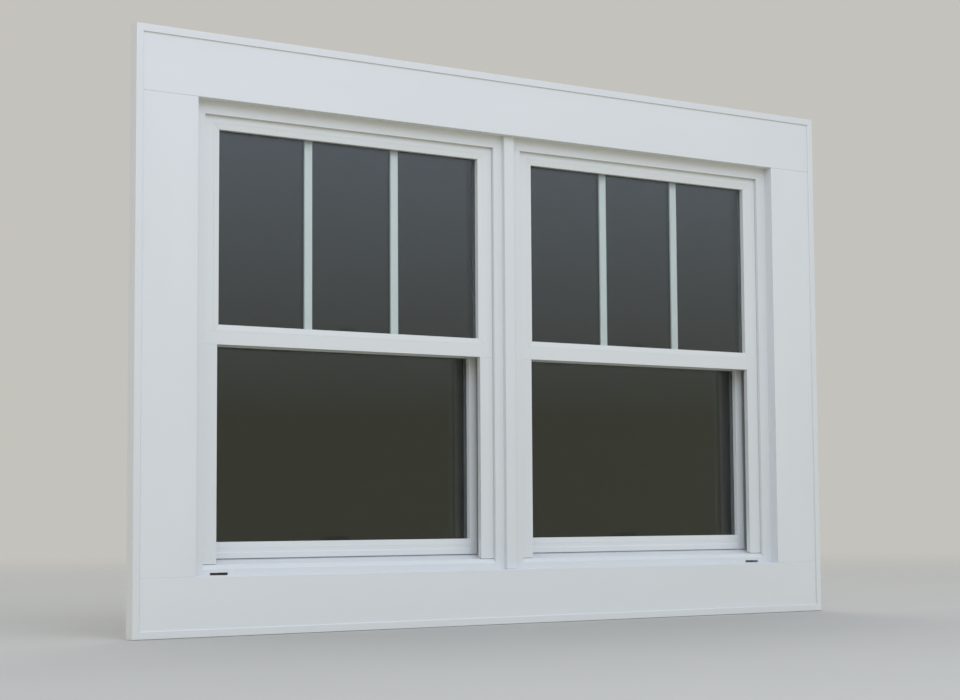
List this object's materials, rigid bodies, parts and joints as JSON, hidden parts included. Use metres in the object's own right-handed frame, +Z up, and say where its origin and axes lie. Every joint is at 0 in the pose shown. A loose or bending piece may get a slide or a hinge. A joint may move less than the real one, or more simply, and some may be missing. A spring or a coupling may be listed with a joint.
{
  "type": "sash window",
  "caption": "White vinyl twin single-hung sash window with flat casing: fixed upper sashes with bars between the panes, sliding lower sashes, locks, tilt latches and balances.",
  "frame": {"origin": "middle of the casing's bottom edge, on the wall plane that the casing's back bears on", "axes": "+X to the right seen from outside, +Y into the wall, +Z up"},
  "size_m": [1.752, 0.1243, 1.168],
  "materials": {
    "white_vinyl": "extruded, satin, very light texture",
    "casing_board": "cellular board, painted satin white",
    "band_vinyl": "extruded, satin",
    "insulating_glass": "smooth double glazing, the inner pane tinted a warm grey",
    "spacer_metal": "mill finish, perforated inner face",
    "bar_enamel": "white enamel on roll-formed bars",
    "pivot_zinc": "die-cast zinc",
    "hardware_enamel": "white enamel on die-cast zinc",
    "handle_plastic": "moulded, smooth",
    "latch_plastic": "moulded, fine texture",
    "seal_rubber": "soft light grey bulb",
    "shoe_nylon": "moulded nylon",
    "rod_steel": "zinc-plated twisted strip",
    "tube_plastic": "extruded tube"
  },
  "bodies": {
    "frame": {"balance_tubes": "tube_plastic", "bottom_back_band": "band_vinyl", "bottom_casing": "casing_board", "frame_head": "white_vinyl", "frame_sill": "white_vinyl", "head_back_band": "band_vinyl", "head_casing": "casing_board", "left_back_band": "band_vinyl", "left_casing": "casing_board", "left_frame_jamb": "white_vinyl", "left_lock_keeper": "hardware_enamel", "left_unit_left_track_cover": "white_vinyl", "left_unit_right_track_cover": "white_vinyl", "left_upper_bars": "bar_enamel", "left_upper_beads": "white_vinyl", "left_upper_panes": "insulating_glass", "left_upper_sash": "white_vinyl", "left_upper_spacer": "spacer_metal", "mullion_cover": "white_vinyl", "mullion_post": "white_vinyl", "right_back_band": "band_vinyl", "right_casing": "casing_board", "right_frame_jamb": "white_vinyl", "right_lock_keeper": "hardware_enamel", "right_unit_left_track_cover": "white_vinyl", "right_unit_right_track_cover": "white_vinyl", "right_upper_bars": "bar_enamel", "right_upper_beads": "white_vinyl", "right_upper_panes": "insulating_glass", "right_upper_sash": "white_vinyl", "right_upper_spacer": "spacer_metal"},
    "left_sash": {"left_lower_sash": "white_vinyl", "left_lower_beads": "white_vinyl", "left_lower_panes": "insulating_glass", "left_lower_spacer": "spacer_metal", "left_lock_base": "hardware_enamel", "left_lift_handle": "handle_plastic", "left_bottom_seal": "seal_rubber", "left_latch_housings": "latch_plastic", "left_pivot_bars": "pivot_zinc", "left_balance_shoes": "shoe_nylon", "left_balance_rods": "rod_steel"},
    "left_lever": {"left_lock_lever": "hardware_enamel"},
    "left_sash_left_latch_bolt": {"left_sash_left_latch": "latch_plastic"},
    "left_sash_right_latch_bolt": {"left_sash_right_latch": "latch_plastic"},
    "right_sash": {"right_lower_sash": "white_vinyl", "right_lower_beads": "white_vinyl", "right_lower_panes": "insulating_glass", "right_lower_spacer": "spacer_metal", "right_lock_base": "hardware_enamel", "right_lift_handle": "handle_plastic", "right_bottom_seal": "seal_rubber", "right_latch_housings": "latch_plastic", "right_pivot_bars": "pivot_zinc", "right_balance_shoes": "shoe_nylon", "right_balance_rods": "rod_steel"},
    "right_lever": {"right_lock_lever": "hardware_enamel"},
    "right_sash_left_latch_bolt": {"right_sash_left_latch": "latch_plastic"},
    "right_sash_right_latch_bolt": {"right_sash_right_latch": "latch_plastic"}
  },
  "joints": [
    {"name": "left_sash_slide", "type": "slide", "parent": "frame", "child": "left_sash", "axis": [0, 0, 1], "range_m": [0, 0.355]},
    {"name": "left_lock_turn", "type": "hinge", "parent": "left_sash", "child": "left_lever", "pos_m": [-0.3765, 0.0594, 0.6075], "axis": [0, 0, 1], "range_deg": [0, 90]},
    {"name": "left_sash_left_latch_slide", "type": "slide", "parent": "left_sash", "child": "left_sash_left_latch_bolt", "axis": [1, 0, 0], "range_m": [0, 0.007], "stiffness_N_per_m": 600},
    {"name": "left_sash_right_latch_slide", "type": "slide", "parent": "left_sash", "child": "left_sash_right_latch_bolt", "axis": [-1, 0, 0], "range_m": [0, 0.007], "stiffness_N_per_m": 600},
    {"name": "right_sash_slide", "type": "slide", "parent": "frame", "child": "right_sash", "axis": [0, 0, 1], "range_m": [0, 0.355]},
    {"name": "right_lock_turn", "type": "hinge", "parent": "right_sash", "child": "right_lever", "pos_m": [0.3765, 0.0594, 0.6075], "axis": [0, 0, 1], "range_deg": [0, 90]},
    {"name": "right_sash_left_latch_slide", "type": "slide", "parent": "right_sash", "child": "right_sash_left_latch_bolt", "axis": [1, 0, 0], "range_m": [0, 0.007], "stiffness_N_per_m": 600},
    {"name": "right_sash_right_latch_slide", "type": "slide", "parent": "right_sash", "child": "right_sash_right_latch_bolt", "axis": [-1, 0, 0], "range_m": [0, 0.007], "stiffness_N_per_m": 600}
  ]
}
